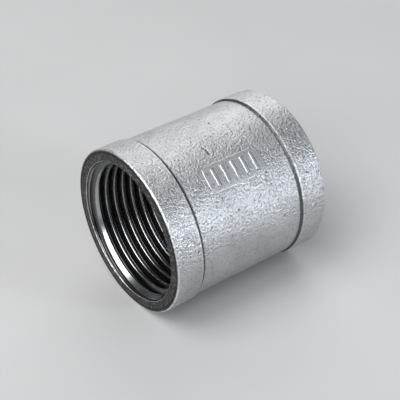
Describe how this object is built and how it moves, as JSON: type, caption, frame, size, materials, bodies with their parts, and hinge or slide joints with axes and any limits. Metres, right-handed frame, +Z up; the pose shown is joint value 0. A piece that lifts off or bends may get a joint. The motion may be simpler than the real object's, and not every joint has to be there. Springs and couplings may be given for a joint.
{
  "type": "pipe coupling",
  "caption": "Cast stainless steel banded pipe coupling with an internal pipe thread in each end, lying on its side.",
  "frame": {"origin": "on the coupling's axis, midway between its end faces", "axes": "+X along the axis of the bore, out of the right-hand mouth; +Z up with the coupling lying on its side; the raised size mark faces -Y and up"},
  "size_m": [0.0414, 0.039, 0.039],
  "materials": {
    "cast_skin": "as-cast stainless steel, pickled and bead blasted to a matt grey with a sandy grain",
    "cut_thread": "tapped stainless steel, smoother and darker than the skin, with fine lines along the thread",
    "cast_mark": "as-cast stainless steel, a little smoother than the skin around it"
  },
  "bodies": {
    "root": {"coupling_body": "cast_skin", "thread_left": "cut_thread", "thread_right": "cut_thread", "size_mark": "cast_mark"}
  },
  "joints": []
}
